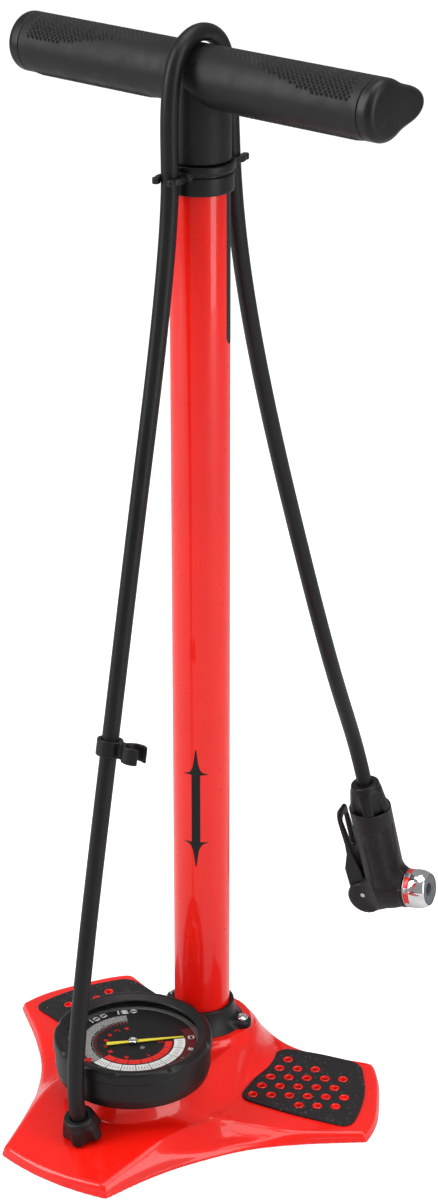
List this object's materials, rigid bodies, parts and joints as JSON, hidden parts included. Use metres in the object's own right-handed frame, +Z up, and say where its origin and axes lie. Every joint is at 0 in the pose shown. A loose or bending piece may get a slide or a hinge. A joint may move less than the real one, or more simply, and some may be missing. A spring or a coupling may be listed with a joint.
{
  "type": "bicycle floor pump",
  "caption": "Upright hand-operated floor pump with a T-handle, a lobed foot base, a round pressure gauge and a hose that ends in a lever-lock valve head.",
  "frame": {"origin": "where the barrel's axis meets the floor", "axes": "+Z up the barrel, +X along the wings and the handle, +Y towards the user, -Y towards the gauge"},
  "size_m": [0.2719, 0.381, 0.6707],
  "materials": {
    "base_paint": "high-gloss red paint",
    "barrel_paint": "high-gloss red paint",
    "black_plastic": "fine matte black moulding",
    "cap_plastic": "smooth satin black moulding",
    "soft_grip": "matte soft-touch black with a pattern of small dimples",
    "black_rubber": "matte black rubber",
    "grit_rubber": "gritty black grip sheet",
    "hose_rubber": "smooth satin black hose",
    "grey_rubber": "mid-grey rubber",
    "white_plastic": "natural acetal",
    "dial_print": "black printed scale card",
    "needle_yellow": "yellow enamel",
    "marker_red": "red plastic",
    "band_red": "red and silver print",
    "brass": "turned brass",
    "steel": "zinc-plated steel",
    "chrome": "bright chrome",
    "aluminium": "machined aluminium",
    "clear_lens": "clear polycarbonate window"
  },
  "bodies": {
    "root": {"base": "base_paint", "rubber_feet": "black_rubber", "tread_pads": "grit_rubber", "air_duct": "black_plastic", "hose_spigot": "brass", "hose_nut": "black_plastic", "gauge_screws": "steel", "barrel": "barrel_paint", "barrel_collar": "black_plastic", "collar_screws": "chrome", "barrel_plug": "black_plastic", "plug_seal": "black_rubber", "check_spring": "steel", "top_cap": "black_plastic", "rod_bushing": "white_plastic", "rod_bumper": "black_rubber", "gauge_housing": "black_plastic", "gauge_socket": "brass", "bourdon_tube": "brass", "movement_frame": "brass", "sector_pin": "steel", "gauge_dial": "dial_print", "dial_screws": "steel", "gauge_lens": "clear_lens", "hose": "hose_rubber"},
    "check_valve": {"check_valve_disc": "black_rubber"},
    "handle": {"piston_rod": "chrome", "piston_head": "black_plastic", "piston_seal": "black_rubber", "piston_nut": "steel", "handle_body": "soft_grip", "handle_insert": "aluminium", "end_cap_right": "cap_plastic", "end_cap_left": "cap_plastic"},
    "bezel": {"gauge_bezel": "black_rubber", "target_marker": "marker_red"},
    "sector": {"sector_gear": "brass"},
    "link": {"gauge_link": "steel"},
    "pointer": {"needle_arbor": "steel", "needle": "needle_yellow", "needle_cap": "chrome"},
    "clip": {"hose_clip": "black_plastic"},
    "chuck": {"chuck_body": "black_plastic", "chuck_barb": "brass", "chuck_nut": "black_plastic", "lever_pin": "steel"},
    "collar": {"chuck_collar": "chrome", "collar_band": "band_red", "valve_seal": "grey_rubber"},
    "lever": {"chuck_lever": "black_plastic"},
    "plunger": {"seal_plunger": "white_plastic"}
  },
  "joints": [
    {"name": "handle_slide", "type": "slide", "parent": "root", "child": "handle", "axis": [0, 0, 1], "range_m": [0, 0.454], "deforming": ["hose"]},
    {"name": "check_valve_lift", "type": "slide", "parent": "root", "child": "check_valve", "axis": [0, 0, -1], "range_m": [0, 0.0015], "stiffness_N_per_m": 60, "deforming": ["check_spring"]},
    {"name": "bezel_turn", "type": "hinge", "parent": "root", "child": "bezel", "pos_m": [0, -0.0735, 0.0568], "axis": [0, 0, 1], "continuous": true},
    {"name": "sector_turn", "type": "hinge", "parent": "root", "child": "sector", "pos_m": [-0.026, -0.06892, 0.0445], "axis": [0, 0, 1], "range_deg": [0, 27]},
    {"name": "needle_turn", "type": "hinge", "parent": "root", "child": "pointer", "pos_m": [0, -0.0735, 0.0445], "axis": [0, 0, 1], "range_deg": [-270, 0]},
    {"name": "link_turn", "type": "hinge", "parent": "sector", "child": "link", "pos_m": [-0.034, -0.06892, 0.0501], "axis": [0, 0, 1], "range_deg": [-27, 0]},
    {"name": "clip_swivel", "type": "hinge", "parent": "root", "child": "clip", "pos_m": [0, -0.0923, 0.263], "axis": [0, 0.206, 0.9785], "continuous": true},
    {"name": "chuck_swivel", "type": "hinge", "parent": "handle", "child": "chuck", "pos_m": [0, 0.1895, 0.1235], "axis": [-0.133, -0.175, 0.9755], "range_deg": [-180, 180]},
    {"name": "lever_flip", "type": "hinge", "parent": "chuck", "child": "lever", "pos_m": [-0.00295, 0.20277, 0.03527], "axis": [0.1663, -0.9743, -0.1521], "range_deg": [0, 95]},
    {"name": "plunger_slide", "type": "slide", "parent": "chuck", "child": "plunger", "axis": [0.9771, 0.142, 0.1587], "range_m": [0, 0.0015]},
    {"name": "collar_turn", "type": "hinge", "parent": "chuck", "child": "collar", "pos_m": [0.03489, 0.20796, 0.04341], "axis": [0.9771, 0.142, 0.1587], "continuous": true}
  ],
  "couplings": [
    {"joint": "needle_turn", "follows": "sector_turn", "ratio": -10},
    {"joint": "link_turn", "follows": "sector_turn", "ratio": -1},
    {"joint": "plunger_slide", "follows": "lever_flip", "m_per_rad": 0.00090377}
  ]
}
